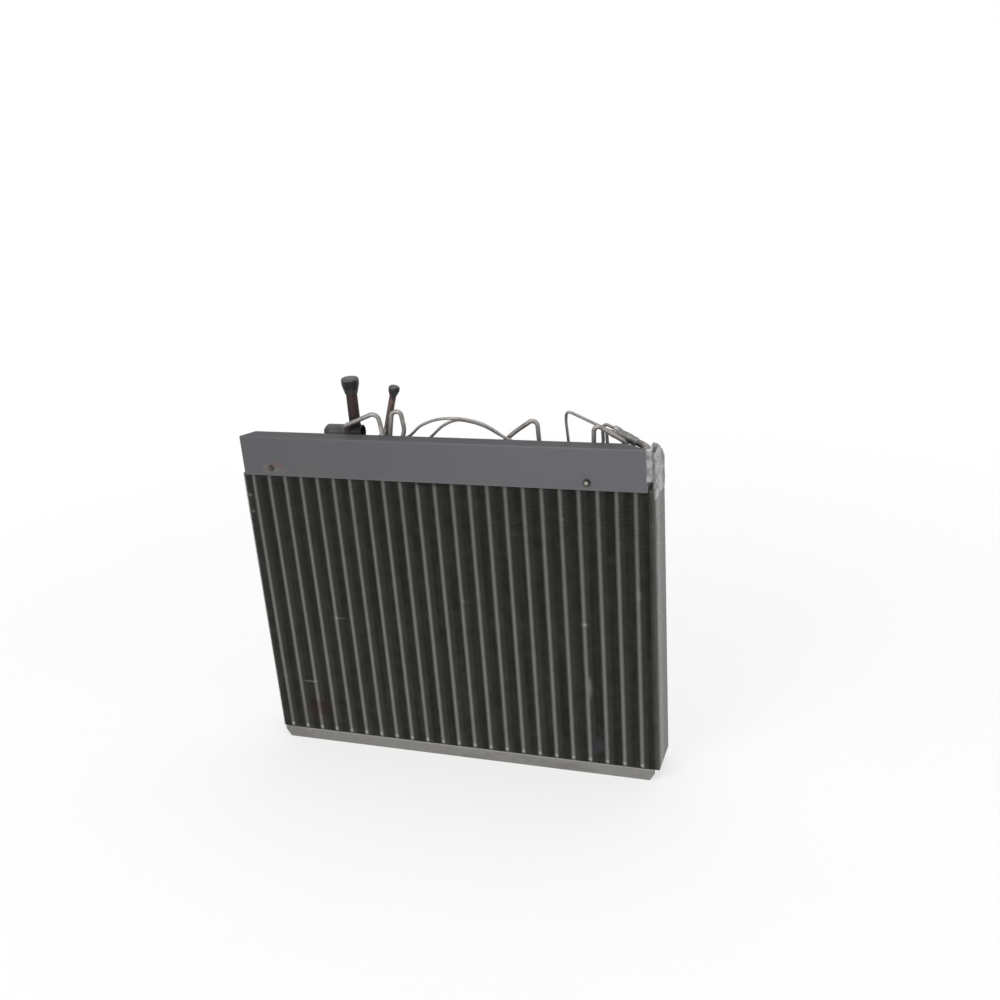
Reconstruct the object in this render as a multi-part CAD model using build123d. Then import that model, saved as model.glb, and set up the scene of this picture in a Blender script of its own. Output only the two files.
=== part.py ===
from build123d import *
from math import atan2, cos, degrees, radians, sin, tan
import os

# Evaporator coil: a finned block on copper tubes, standing on its lower end plate, in mm.
# While it is being made, X = 0 is the first tube of the front row, Y = 0 the front edge of
# the fins and Z = 0 the floor. At the end all pieces move so that the origin is under the
# middle of the whole coil. X runs along the face, Y goes back through the rows, Z goes up.

# Tube pattern
columns = 23               # tubes in the front row and in the back row
pitch = 25.4               # from tube to tube in a row
row_step = 22.0            # from row to row
rows = 3
tube_od = 9.525
tube_wall = 0.41
circuits = 5               # separate refrigerant paths
hole_clearance = 0.3       # of the end plates' holes around a tube
collar_clearance = 0.05    # of the fin collars around a tube

# Fins
stack_height = 421.6
fin_spacing = 1.81         # nominal, 14 to the inch
fin_thickness = 0.2
fin_edge_depth = 5.5       # how deep the open gaps between the fins are modelled
margin_left = 16.5         # fin edge to the first tube of the front row
margin_right = 24.9
stack_gap = 0.2            # fins to the end plates

# End plates
sheet = 1.2
foot_height = 17.9         # lower plate, flanges down
rim_height = 19.0          # upper plate, flanges up
plate_bend = 1.0           # inside radius of a fold
foot_inset_left = 3.3      # plate end to fin edge
foot_inset_right = 6.7
rim_inset_left = 5.5
rim_inset_right = 7.8
foot_cut_x = 7.5           # slanted corners of the flanges
foot_cut_z = 12.0

# Joints at the tube tops
bell_lift = 0.9            # upper plate to the widened tube end
bell_length = 6.0
bell_clearance = 0.1
bend_stub = 0.5            # return bend's straight bit above the bell
collar_height = 2.0        # bushing's collar on the tube end
braze_gap = 0.08           # around a tube in its bushing, header or distributor

# Header shield
shield_sheet = 1.0
shield_height = 57.2
shield_lap = 0.9           # how far it hangs below the upper plate's web
shield_top_depth = 25.4    # folded top
shield_mitre_left = 12.5   # slanted ends of the folded top
shield_mitre_right = 31.0
shield_round = 2.5         # its rounded lower corners

# Shield screws
screw_x = (32.2, 495.5)
screw_z_in_rim = 9.0       # above the upper plate's web
screw_shank = 4.2
screw_length = 7.6
screw_washer = 8.6
screw_washer_thickness = 0.9
screw_hex = 6.35
screw_hex_height = 3.0

# Copper lines
branch_od = 6.35           # suction branches
branch_wall = 0.8
branch_bend = 9.0          # radius at a sharp corner
feed_od = 3.97             # distributor tubes
feed_wall = 0.8
feed_bend = 8.0
line_od = 9.525            # liquid line
line_wall = 0.8
line_bend = 14.0
sharp_turn = 50.0          # degrees; a smaller turn is an easy arc
easy_bend = 120.0          # largest radius of an easy arc
arc_share = 0.45           # of the shorter run beside a corner that its arc may take
stub_od = 15.875           # suction stub
stub_wall = 1.1

# Suction header
header_od = 22.2
header_wall = 1.2
header_left = 97.5         # closed, spun end
header_right = 157.2
header_dome = 9.0
header_y = 50.0
header_rise = 24.5         # header axis above the tops of the return bends
stub_x = 147.0
stub_top_rise = 76.0       # stub's top above the header axis
end_cup = 6.0              # header's right end cup

# Shipping caps
cap_wall = 4.4
small_cap_wall = 2.9
cap_top = 3.5
cap_grip = 19.0            # how much of the suction stub it covers
cap_round = 3.2
small_cap_grip = 9.5
small_cap_round = 3.0
cap_taper = 0.7            # share of the grip over which it narrows
cap_lip = 0.2              # share of the wall left at its lower end

# Distributor
distributor_y = 52.0
distributor_x = 518.8      # middle of its outlet face
distributor_rise = 37.7    # the same, above the tops of the return bends
distributor_length = 35.5
distributor_tilt = 24.6    # below level, towards its inlet
distributor_d = 13.5
distributor_face_d = 16.2
distributor_ring = 4.6     # radius of the ring of outlets
socket_depth = 6.0

# Foil
tape_thickness = 0.3
tape_lap = 3.0             # onto the front and back of the fins
foil_thickness = 0.5
foil_lap = 2.0             # onto the shield's front
foil_grip = 11.0           # down over the tape
foil_dome = 8.5            # above the shield
foil_notch = 15.0          # gap at the front below the foil's lap

# Levels and places that follow
depth = rows * row_step
fin_left = -margin_left
fin_right = (columns - 1) * pitch + margin_right
foot_top = foot_height
fin_bottom = foot_top + stack_gap
fin_top = fin_bottom + stack_height
rim_bottom = fin_top + stack_gap
rim_web_top = rim_bottom + sheet
bell_bottom = rim_web_top + bell_lift
bell_top = bell_bottom + bell_length
bend_start = bell_top + bend_stub
bend_radius = pitch / 2
bends_top = bend_start + bend_radius + tube_od / 2
header_z = bends_top + header_rise
shield_bottom = rim_bottom - shield_lap
shield_top = shield_bottom + shield_height
lane = bends_top + 5.0     # lowest level for a line that crosses the return bends


def cylinder(radius, start, end):
    """Solid cylinder between two points."""
    axis = Vector(*end) - Vector(*start)
    plane = Plane(origin=start, z_dir=axis)
    return extrude(plane * Circle(radius), amount=axis.length)


def line_tube(points, bend, od, wall, tight):
    """Tube along straight runs joined by arcs."""
    return tube_on(FilletPolyline(*points, radius=arcs(points, bend, tight)), od, wall)


def arcs(points, bend, tight):
    """Radius of each corner: bend at a sharp one, or its own in tight, as far as its runs allow."""
    radii = []
    for i in range(1, len(points) - 1):
        before = Vector(*points[i]) - Vector(*points[i - 1])
        after = Vector(*points[i + 1]) - Vector(*points[i])
        turn = before.get_angle(after)
        usual = bend if turn > sharp_turn else easy_bend
        room = arc_share * min(before.length, after.length) / tan(radians(turn / 2))
        radii.append(min(tight.get(i, usual), room))
    return radii


def tube_on(path, od, wall):
    """Tube of one wall thickness along a path."""
    section = Plane(origin=path @ 0, z_dir=path % 0) * (Circle(od / 2) - Circle(od / 2 - wall))
    return sweep(section, path=path)


def place(row, column):
    """X and Y of a tube; row 0 is the front one and row 1 is half a pitch across."""
    return (column + 0.5 * (row % 2)) * pitch, (row + 0.5) * row_step


def tube_order():
    """One walk through every tube, each next to the one before it."""
    order = []
    last = columns - 2
    for k in range(last):
        column = [(2, k), (1, k), (0, k)]
        order += column if k % 2 == 0 else column[::-1]
    near, far = (0, 2) if last % 2 else (2, 0)
    return order + [(near, last), (near, last + 1), (1, last), (far, last + 1), (far, last)]


def circuit_tubes():
    """The walk cut into circuits, each with a whole number of hairpins."""
    order = tube_order()
    hairpins = len(order) // 2
    short = circuits - hairpins % circuits
    cut, start = [], 0
    for i in range(circuits):
        count = 2 * (hairpins // circuits + (0 if i < short else 1))
        cut.append(order[start:start + count])
        start += count
    return cut


# The end plates and the fins
def all_holes(radius, bottom, top):
    """A cylinder on each tube's axis, to cut holes with."""
    spots = [place(*tube) for tube in tube_order()]
    return [cylinder(radius, (x, y, bottom), (x, y, top)) for x, y in spots]


def make_fin_pack():
    """The pack of fins, the gaps between their front and back edges open."""
    gaps = round((stack_height - fin_thickness) / fin_spacing)
    step = (stack_height - fin_thickness) / gaps
    front, back = [(0, fin_bottom)], [(depth, fin_bottom)]
    for i in range(gaps):
        low = fin_bottom + i * step + fin_thickness
        high = fin_bottom + (i + 1) * step
        inner = fin_edge_depth
        front += [(0, low), (inner, low), (inner, high), (0, high)]
        back += [(depth, low), (depth - inner, low), (depth - inner, high), (depth, high)]
    comb = make_face(Polyline(*front, (0, fin_top), (depth, fin_top), *back[::-1], close=True))
    pack = extrude(Plane(origin=(fin_left, 0, 0), x_dir=(0, 1, 0), z_dir=(1, 0, 0)) * comb,
                   amount=fin_right - fin_left)
    return pack - all_holes(tube_od / 2 + collar_clearance, fin_bottom, fin_top)


def channel(height):
    """Section of an end plate in Y and Z: a web at Z = 0 with two flanges going down."""
    outer = Pos(depth / 2, -height / 2) * Rectangle(depth + 2 * sheet, height)
    inner = Pos(depth / 2, -sheet - height / 2) * Rectangle(depth, height)
    outer = fillet(outer.vertices().group_by(Axis.Y)[-1], plate_bend + sheet)
    inner = fillet(inner.vertices().group_by(Axis.Y)[-1], plate_bend)
    return outer - inner


def end_plate(height, x0, x1):
    """Channel from x0 to x1, web uppermost at Z = 0, with slanted flange ends."""
    section = Plane(origin=(x0, 0, 0), x_dir=(0, 1, 0), z_dir=(1, 0, 0)) * channel(height)
    plate = extrude(section, amount=x1 - x0)
    corner = Plane.XZ * make_face(Polyline((0, 0), (foot_cut_x, 0), (0, foot_cut_z), close=True))
    cut = extrude(corner, amount=depth + 4 * sheet, both=True)
    left = Pos(x0, 0, -height) * cut
    right = Pos(x1, 0, -height) * mirror(cut, about=Plane.YZ)
    return plate - [left, right]


def make_bottom_plate():
    plate = end_plate(foot_height, fin_left + foot_inset_left, fin_right - foot_inset_right)
    return Pos(0, 0, foot_top) * plate - all_holes(tube_od / 2 + hole_clearance,
                                                   foot_top - 2 * sheet, foot_top + sheet)


def screw_places():
    return [(x, rim_web_top + screw_z_in_rim) for x in screw_x]


def make_top_plate():
    plate = end_plate(rim_height, fin_left + rim_inset_left, fin_right - rim_inset_right)
    plate = Pos(0, 0, rim_bottom) * mirror(plate, about=Plane.XY)
    plate -= all_holes(tube_od / 2 + hole_clearance, rim_bottom - sheet, rim_web_top + sheet)
    return plate - [cylinder(screw_shank / 2 + braze_gap, (x, -2 * sheet, z), (x, sheet, z))
                    for x, z in screw_places()]


# Hairpins, return bends and bushings
def u_path(end_z, turn_z):
    """U from the tube on X = 0 to the one on X = pitch, its turn below or above end_z."""
    crest = turn_z + (bend_radius if turn_z > end_z else -bend_radius)
    arc = ThreePointArc((0, 0, turn_z), (bend_radius, 0, crest), (pitch, 0, turn_z))
    return Curve() + [Line((0, 0, end_z), (0, 0, turn_z)), arc,
                      Line((pitch, 0, turn_z), (pitch, 0, end_z))]


def make_hairpin():
    """Hairpin with its legs on X = 0 and X = pitch, widened at the top for the bends."""
    def legs(radius, bell_radius):
        path = u_path(bell_top, foot_top)
        bent = sweep(Plane(origin=path @ 0, z_dir=path % 0) * Circle(radius), path=path)
        shoulder = bell_radius - radius
        for x in (0, pitch):
            cone = Pos(x, 0, bell_bottom - shoulder / 2) * Cone(radius, bell_radius, shoulder)
            bell = cylinder(bell_radius, (x, 0, bell_bottom), (x, 0, bell_top))
            bent += [cone, bell]
        return bent
    bell_inner = tube_od / 2 + bell_clearance
    return legs(tube_od / 2, bell_inner + tube_wall) - legs(tube_od / 2 - tube_wall, bell_inner)


def make_return_bend():
    """U-bend with its legs on X = 0 and X = pitch, ends inside the bells."""
    return tube_on(u_path(bell_bottom + bell_clearance, bend_start), tube_od, tube_wall)


def across(piece, tube_a, tube_b):
    """A U-shaped piece laid between two neighbouring tubes."""
    (xa, ya), (xb, yb) = place(*tube_a), place(*tube_b)
    return Pos(xa, ya, 0) * Rot(0, 0, degrees(atan2(yb - ya, xb - xa))) * piece


def make_bushing(inner_od):
    """Turned plug that takes a thin tube in a tube's widened end, on X = Y = 0."""
    outer, inner = tube_od / 2, inner_od / 2 + braze_gap
    collar = outer + bell_clearance + tube_wall
    foot = bell_bottom + bell_clearance
    profile = Polyline((inner, foot), (outer, foot), (outer, bell_top), (collar, bell_top),
                       (collar, bell_top + collar_height / 2), (inner + tube_wall,
                       bell_top + collar_height), (inner, bell_top + collar_height), close=True)
    return revolve(Plane.XZ * make_face(profile), axis=Axis.Z)


# Shield and its screws
def make_shield():
    """Grey sheet in front of the header space, its top folded back with slanted ends."""
    front = -sheet - shield_sheet
    x0, x1 = fin_left + rim_inset_left, fin_right - rim_inset_right
    outer = Rectangle(shield_top_depth, shield_height, align=Align.MIN)
    inner = Pos(shield_sheet, 0) * Rectangle(shield_top_depth, shield_height - shield_sheet,
                                             align=Align.MIN)
    outer = fillet(outer.vertices().group_by(Axis.Y)[-1].sort_by(Axis.X)[0],
                   plate_bend + shield_sheet)
    inner = fillet(inner.vertices().group_by(Axis.Y)[-1].sort_by(Axis.X)[0], plate_bend)
    section = Plane(origin=(x0, front, shield_bottom), x_dir=(0, 1, 0), z_dir=(1, 0, 0))
    shield = extrude(section * (outer - inner), amount=x1 - x0)
    back, fold = front + shield_top_depth, front + 2 * shield_sheet
    mitres = [make_face(Polyline((x, fold), (x, back), (x + run, back), close=True))
              for x, run in ((x0, shield_mitre_left), (x1, -shield_mitre_right))]
    shield -= [extrude(Pos(0, 0, shield_top - 2 * shield_sheet) * m, amount=3 * shield_sheet)
               for m in mitres]
    shield -= [cylinder(screw_shank / 2 + braze_gap, (x, 2 * front, z), (x, 0, z))
               for x, z in screw_places()]
    lower = shield.edges().filter_by(Axis.Y).group_by(Axis.Z)[0]
    return fillet(lower, shield_round)


def make_screw(x, z):
    """Hex washer-head sheet-metal screw, its head on the shield."""
    seat = -sheet - shield_sheet
    r = screw_shank / 2
    tip = seat + screw_length
    washer = cylinder(screw_washer / 2, (x, seat, z), (x, seat - screw_washer_thickness, z))
    hexagon = Plane(origin=(x, seat - screw_washer_thickness, z), z_dir=(0, -1, 0)) * \
        RegularPolygon(screw_hex / 2, 6, major_radius=False)
    head = extrude(hexagon, amount=screw_hex_height)
    head = chamfer(head.faces().sort_by(Axis.Y)[0].edges(), 0.1 * screw_hex)
    point = Plane(origin=(x, tip - r, z), z_dir=(0, 1, 0)) * Pos(0, 0, r / 2) * Cone(r, r / 5, r)
    return washer + head + cylinder(r, (x, seat, z), (x, tip - r, z)) + point


# Suction side
def branch_routes():
    """Suction branches, from the header to the end of each circuit."""
    under = header_z - header_od / 2 + 2 * header_wall     # just inside the header's wall
    end = bell_bottom + bell_length / 2
    front, rear = header_y - 6.0, header_y + 6.0
    side = under + 2.0                                      # where it leaves off-centre
    x1, y1 = place(*circuit_tubes()[0][-1])
    x2, y2 = place(*circuit_tubes()[1][-1])
    x3, y3 = place(*circuit_tubes()[2][0])
    x4, y4 = place(*circuit_tubes()[3][-1])
    x5, y5 = place(*circuit_tubes()[4][-1])
    high = header_z + 14.5
    return [
        ([(x1, y1, end), (x1, y1, lane), (header_left - 8, front, lane),
          (header_left + 14.5, front, lane), (header_left + 14.5, front, side)], {}),
        ([(x2, y2, end), (x2, y2, lane + 7), (228, 38, header_z + 6), (224, 38, header_z + 36),
          (211, 38, header_z + 35), (201, 38, lane), (stub_x, front + 1, lane),
          (stub_x, front + 1, side)], {}),
        ([(x3, y3, end), (x3, y3, lane + 3), (196.5, 32, header_z + 7), (191, 32, header_z + 36),
          (139, 32, high), (137, header_y - 7.5, header_z + 3)], {}),
        ([(x4, y4, end), (x4, y4, lane), (417.5, 52, lane), (415.5, 52, header_z + 29),
          (384, 52, header_z + 8), (352, 52, lane), (165, 52, lane), (141, rear, lane),
          (141, rear, side)], {3: 7}),
        ([(x5, y5, end), (x5, y5, lane + 3), (539, 38, header_z + 3), (497.5, 38, header_z + 27),
          (496, 38, lane + 13), (470, 24, lane), (150, 24, lane), (128, front, lane),
          (128, front, side)], {3: 6.5})]


def make_header(branches):
    """Suction header: a pipe spun shut at its left end, with holes for what joins it."""
    r, w = header_od / 2, header_wall
    neck = header_left + header_dome

    def blank(radius, dome, right):
        dome_end = Spline((neck - dome, 0), (neck - 0.55 * dome, 0.78 * radius), (neck, radius),
                          tangents=((0, 1), (1, 0)))
        rest = Polyline((neck, radius), (right, radius), (right, 0), (neck - dome, 0))
        return revolve(Plane.XZ * make_face(Curve() + [dome_end, rest]), axis=Axis.X)
    pipe = blank(r, header_dome, header_right) - blank(r - w, header_dome - w, header_right + w)
    pipe = Pos(0, header_y, header_z) * pipe
    top = cylinder(stub_od / 2 + braze_gap, (stub_x, header_y, header_z),
                   (stub_x, header_y, header_z + header_od))
    holes = [swept_plug(points, branch_od + 2 * braze_gap) for points, _ in branches]
    return pipe - [top] - holes


def swept_plug(points, d):
    """Straight cylinder over the last run of a route, which enters the header."""
    a, b = Vector(*points[-2]), Vector(*points[-1])
    far = b + (b - a).normalized() * header_wall
    return cylinder(d / 2, tuple(b - (b - a) * 0.6), tuple(far))


def make_header_cup():
    """Cup that closes the header's right end from inside."""
    r = header_od / 2 - header_wall - braze_gap
    cup = cylinder(r, (header_right - end_cup, header_y, header_z),
                   (header_right, header_y, header_z))
    hollow = cylinder(r - header_wall, (header_right - end_cup + header_wall, header_y, header_z),
                      (header_right + 1, header_y, header_z))
    return cup - hollow


def make_suction_stub():
    foot = header_z + header_od / 2 - 3 * header_wall
    top = header_z + stub_top_rise
    ring = Circle(stub_od / 2) - Circle(stub_od / 2 - stub_wall)
    pipe = extrude(Pos(stub_x, header_y, foot) * ring, amount=top - foot)
    bore = cylinder(header_od / 2 - header_wall, (stub_x - stub_od, header_y, header_z),
                    (stub_x + stub_od, header_y, header_z))
    return pipe - bore


def make_cap(od, wall, grip, rounding):
    """Rubber shipping cap for a tube end that is at Z = 0 on X = Y = 0."""
    inner = od / 2 + braze_gap
    outer = inner + wall
    profile = Polyline((0, braze_gap), (inner, braze_gap), (inner, -grip),
                       (inner + cap_lip * wall, -grip), (outer, (cap_taper - 1) * grip),
                       (outer, cap_top), (0, cap_top), close=True)
    face = make_face(profile)
    corner = face.vertices().sort_by(SortBy.DISTANCE, reverse=True)
    top_corner = [v for v in corner if v.X > outer - 0.01 and v.Y > 0]
    face = fillet(top_corner, rounding)
    return revolve(Plane.XZ * face, axis=Axis.Z)


# Liquid side
outward = Vector(-cos(radians(distributor_tilt)), 0, sin(radians(distributor_tilt)))
upward = Vector(sin(radians(distributor_tilt)), 0, cos(radians(distributor_tilt)))
distributor_face = Vector(distributor_x, distributor_y, bends_top + distributor_rise)


def outlet(turn):
    """Middle of an outlet; turn is 0 at the back of the ring and 90 on top."""
    side = Vector(0, 1, 0) * (distributor_ring * cos(radians(turn)))
    return distributor_face + side + upward * (distributor_ring * sin(radians(turn)))


def make_distributor():
    """Turned brass body with a ring of outlets and a socket for the liquid line."""
    frame = Plane(origin=tuple(distributor_face), x_dir=(0, 1, 0), z_dir=tuple(-outward))
    r, face_r, full = distributor_d / 2, distributor_face_d / 2, distributor_length
    profile = Polyline((0, 0), (face_r - 0.8, 0), (face_r, 0.8), (face_r, 7.5), (r, 11.5),
                       (r, full - 9.0), (r - 0.6, full - 8.4), (r - 0.6, full), (0, full),
                       close=True)
    body = frame * revolve(Plane.XZ * make_face(profile), axis=Axis.Z)
    cuts = []
    for turn in outlet_turns:
        start = outlet(turn) + outward
        cuts.append(cylinder(feed_od / 2 + braze_gap, tuple(start),
                             tuple(start - outward * (socket_depth + 1))))
    inlet = distributor_face - outward * full
    cuts.append(cylinder(line_od / 2 + braze_gap, tuple(inlet - outward),
                         tuple(inlet + outward * socket_depth)))
    return body - cuts


outlet_turns = (180, 96, 36, 252, 324)


def feed_routes():
    """Distributor tubes, from an outlet to the start of each circuit."""
    end = bell_bottom + bell_length / 2
    starts = [place(*circuit_tubes()[0][0]), place(*circuit_tubes()[1][0]),
              place(*circuit_tubes()[2][-1]), place(*circuit_tubes()[3][0]),
              place(*circuit_tubes()[4][0])]

    def leave(turn, run):
        first = outlet(turn) - outward * (socket_depth - 0.5)
        bend = outlet(turn) + outward * run
        return tuple(first), tuple(bend)

    x1, y1 = starts[0]
    x2, y2 = starts[1]
    x3, y3 = starts[2]
    x4, y4 = starts[3]
    x5, y5 = starts[4]
    back = depth - 2.0
    a0, a1 = leave(36, 18)
    b0, b1 = leave(96, 17)
    c0, c1 = leave(252, 6.4)
    d0, d1 = leave(324, 9.2)
    e0, e1 = leave(180, 66)
    low = header_z - 12.5
    return [
        ([(x1, y1, end), (x1, y1, low), (x1 + 16, back, low), (212, back, low),
          (236, 40, header_z + 2), (250, 40, header_z + 16), (275, 40, header_z + 26),
          (308, 40, header_z + 28.5), (344, 40, header_z + 22), (372, 40, header_z + 3),
          (392, 41, low), (a1[0] + 1, a1[1], low), a1, a0], {12: 6}),
        ([(x2, y2, end), (x2, y2, lane - 0.5), (x2 + 14, back, lane - 0.5),
          (240, back, lane - 0.5), (266, 44.5, header_z + 1), (282, 44.5, header_z + 16),
          (304, 44.5, header_z + 25.5), (340, 44.5, header_z + 19), (371, 44.5, header_z + 1),
          (392, 45, low + 5), (b1[0] + 1, b1[1] + 0.3, low + 5), b1, b0], {11: 5}),
        ([(x3, y3, end), (x3, y3, low), (c1[0] + 1, y3, low), (c1[0] + 1, c1[1], low), c1, c0],
         {4: 4}),
        ([(x4, y4, end), (x4, y4, lane - 1), (d1[0] + 1, y4, lane - 1),
          (d1[0] + 1, d1[1], lane - 1), d1, d0], {4: 4}),
        ([(x5, y5, end), (x5, y5, header_z - 8), (455, 54, header_z + 26), e1, e0], {3: 6.5})]


def line_route():
    """Liquid line, from the distributor's inlet to its stub."""
    inlet = distributor_face - outward * (distributor_length - socket_depth + 0.5)
    turn = distributor_face - outward * (distributor_length + 17)
    return ([tuple(inlet), tuple(turn), (turn.X, 8, header_z - 2), (177, 8, header_z - 2),
             (192.6, 50, header_z - 4), line_top()], {1: 12})


def line_top():
    return 213, 50, header_z + 65


# Foil
def make_side_tape():
    """Foil tape over the open fin edges at the right, lapped onto the front and back."""
    t = tape_thickness
    z0, z1 = fin_bottom, shield_bottom - shield_lap
    outer = Pos(fin_right + t - tape_lap / 2, depth / 2) * Rectangle(tape_lap, depth + 2 * t)
    inner = Pos(fin_right - tape_lap, depth / 2) * Rectangle(2 * tape_lap, depth)
    return extrude(Pos(0, 0, z0) * (outer - inner), amount=z1 - z0)


def make_corner_foil():
    """Stiff foil round the right end of the header space, with a domed top."""
    t = foil_thickness
    front = -sheet - shield_sheet - t
    side = fin_right + tape_thickness
    start = fin_right - rim_inset_right - foil_lap
    low = shield_bottom - foil_grip
    strip = make_face(Polyline((start, front), (side + t, front), (side + t, depth),
                               (side, depth), (side, front + t), (start, front + t), close=True))
    wrap = extrude(Pos(0, 0, low) * strip, amount=shield_top + foil_dome - low)
    crest = Spline((front - t, shield_top - 4), (8, shield_top + foil_dome),
                   (0.68 * depth, shield_top - 8), (depth, shield_top - 42))
    outline = make_face(Curve() + [crest, Polyline((depth, shield_top - 42), (depth, low),
                                                   (front - t, low),
                                                   (front - t, shield_top - 4))])
    dome = extrude(Plane(origin=(start - 1, 0, 0), x_dir=(0, 1, 0), z_dir=(1, 0, 0)) * outline,
                   amount=side + t - start + 2)
    notch = Pos(start - 1, front - 1, low - 1) * Box(side + t - start + 2, 1 - front + t,
                                                     shield_bottom + foil_notch - low + 1,
                                                     align=Align.MIN)
    return (wrap & dome) - notch


def build():
    """Every node of the coil, by name."""
    nodes = {"fin_pack": make_fin_pack(), "bottom_end_plate": make_bottom_plate(),
             "top_end_plate": make_top_plate(), "header_shield": make_shield(),
             "shield_screws": Compound(children=[make_screw(x, z) for x, z in screw_places()])}
    hairpin, bend = make_hairpin(), make_return_bend()
    paths = circuit_tubes()
    for i, tubes in enumerate(paths, 1):
        pairs = list(zip(tubes[::2], tubes[1::2]))
        links = list(zip(tubes[1:-1:2], tubes[2::2]))
        nodes[f"circuit_{i}_hairpins"] = Compound([across(hairpin, a, b) for a, b in pairs])
        nodes[f"circuit_{i}_return_bends"] = Compound([across(bend, a, b) for a, b in links])
    branches, feeds = branch_routes(), feed_routes()
    for i, (points, tight) in enumerate(branches, 1):
        nodes[f"suction_branch_{i}"] = line_tube(points, branch_bend, branch_od, branch_wall,
                                                 tight)
    for i, (points, tight) in enumerate(feeds, 1):
        nodes[f"distributor_tube_{i}"] = line_tube(points, feed_bend, feed_od, feed_wall, tight)
    nodes["suction_bushings"] = Compound([Pos(*p[0][:2], 0) * make_bushing(branch_od)
                                          for p, _ in branches])
    nodes["inlet_bushings"] = Compound([Pos(*p[0][:2], 0) * make_bushing(feed_od)
                                        for p, _ in feeds])
    nodes["suction_header"] = make_header(branches)
    nodes["header_end_cup"] = make_header_cup()
    nodes["suction_stub"] = make_suction_stub()
    nodes["suction_stub_cap"] = Pos(stub_x, header_y, header_z + stub_top_rise) * \
        make_cap(stub_od, cap_wall, cap_grip, cap_round)
    nodes["distributor"] = make_distributor()
    points, tight = line_route()
    nodes["liquid_line"] = line_tube(points, line_bend, line_od, line_wall, tight)
    lean = Plane(origin=points[-1], z_dir=Vector(*points[-1]) - Vector(*points[-2]))
    nodes["liquid_stub_cap"] = lean * make_cap(line_od, small_cap_wall, small_cap_grip,
                                                small_cap_round)
    nodes["side_foil_tape"] = make_side_tape()
    nodes["corner_foil"] = make_corner_foil()
    return nodes


def main():
    nodes = build()
    box = Compound(list(nodes.values())).bounding_box()
    shift = Pos(-(box.min.X + box.max.X) / 2, -(box.min.Y + box.max.Y) / 2, -box.min.Z)
    print("moved by", shift.position, "size", box.size)
    os.makedirs("parts", exist_ok=True)
    for name, shape in nodes.items():
        export_step(shift * shape, f"parts/{name}.step")


main()
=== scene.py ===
from math import cos, pi, radians, sin, sqrt, tau

import bmesh
import bpy
from mathutils import Matrix, Vector, noise


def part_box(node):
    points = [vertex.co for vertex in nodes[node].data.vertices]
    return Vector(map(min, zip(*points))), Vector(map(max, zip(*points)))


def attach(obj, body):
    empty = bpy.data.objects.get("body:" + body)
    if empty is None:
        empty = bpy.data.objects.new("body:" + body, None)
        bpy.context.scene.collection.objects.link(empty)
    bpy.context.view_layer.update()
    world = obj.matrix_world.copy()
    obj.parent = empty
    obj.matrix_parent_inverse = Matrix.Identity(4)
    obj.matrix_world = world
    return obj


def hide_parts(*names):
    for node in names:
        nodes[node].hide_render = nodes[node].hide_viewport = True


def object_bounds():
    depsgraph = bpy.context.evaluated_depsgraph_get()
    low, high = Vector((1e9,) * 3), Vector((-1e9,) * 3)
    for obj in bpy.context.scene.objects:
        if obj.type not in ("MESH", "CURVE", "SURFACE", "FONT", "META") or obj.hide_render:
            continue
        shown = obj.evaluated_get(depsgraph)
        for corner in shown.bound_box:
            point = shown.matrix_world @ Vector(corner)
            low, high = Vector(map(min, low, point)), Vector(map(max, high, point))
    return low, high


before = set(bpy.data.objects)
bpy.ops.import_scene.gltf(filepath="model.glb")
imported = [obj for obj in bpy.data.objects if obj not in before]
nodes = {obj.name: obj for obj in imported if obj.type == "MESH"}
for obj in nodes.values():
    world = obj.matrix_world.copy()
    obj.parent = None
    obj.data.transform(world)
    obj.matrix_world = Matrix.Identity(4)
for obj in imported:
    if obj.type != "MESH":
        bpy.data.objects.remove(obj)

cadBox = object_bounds()
mm = 0.001
print("frame loaded,", len(nodes), "nodes")

# The coil's own corner: the first front tube, the fins' front edge and the floor
tubes = {"columns": 23, "rows": 3, "pitch": 25.4 * mm, "rowStep": 22 * mm,
         "marginLeft": 16.5 * mm, "circuits": 5, "bellTop": 448 * mm}
finLow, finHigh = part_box("fin_pack")
firstTube = finLow.x + tubes["marginLeft"]


def at(x, y, z):      # mm from that corner
    return Vector((firstTube + x * mm, finLow.y + y * mm, z * mm))


# Node trees, for finishes and for geometry
def operator(operation, swapped=False):
    def calc(self, other):
        pair = (other, self) if swapped else (self, other)
        return self.graph.node("ShaderNodeMath", {"operation": operation}, pair)
    return calc


class Sock:
    def __init__(self, graph, socket):
        self.graph = graph
        self.socket = socket

    __add__ = __radd__ = operator("ADD")
    __mul__ = __rmul__ = operator("MULTIPLY")
    __sub__ = operator("SUBTRACT")
    __rsub__ = operator("SUBTRACT", swapped=True)
    __truediv__ = operator("DIVIDE")
    __rtruediv__ = operator("DIVIDE", swapped=True)
    __pow__ = operator("POWER")
    atLeast = operator("MAXIMUM")
    atMost = operator("MINIMUM")
    zigzag = operator("PINGPONG")


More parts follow.
